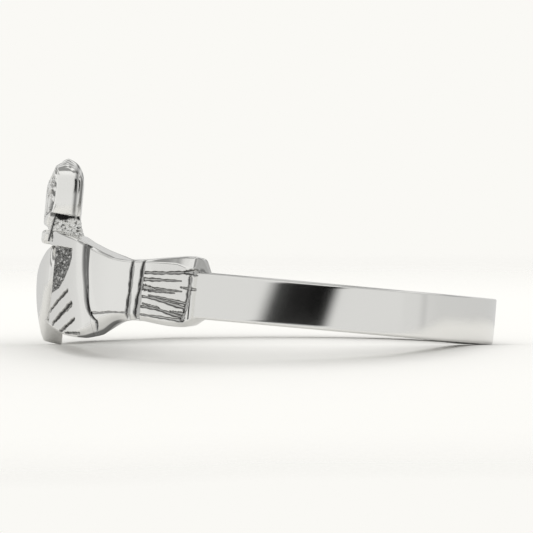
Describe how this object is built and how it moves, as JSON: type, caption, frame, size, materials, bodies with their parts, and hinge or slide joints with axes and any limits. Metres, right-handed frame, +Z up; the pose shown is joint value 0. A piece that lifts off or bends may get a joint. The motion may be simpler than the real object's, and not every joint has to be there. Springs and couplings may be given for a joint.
{
  "type": "claddagh ring",
  "caption": "Finger ring cast in one piece: two hands with ribbed cuffs hold a domed heart under a lobed crown, on a plain band.",
  "frame": {"origin": "on the surface that the ring lies on, under the middle of its length", "axes": "the head is towards -X and the back of the band towards +X; +Z is up, away from the surface, and the crown points up; the ring is alike on its -Y and +Y sides"},
  "size_m": [0.02, 0.0192, 0.0081],
  "materials": {
    "silver": "polished sterling silver, with a rough cast ground between the heart and the hands"
  },
  "bodies": {
    "root": {"ring": "silver"}
  },
  "joints": []
}
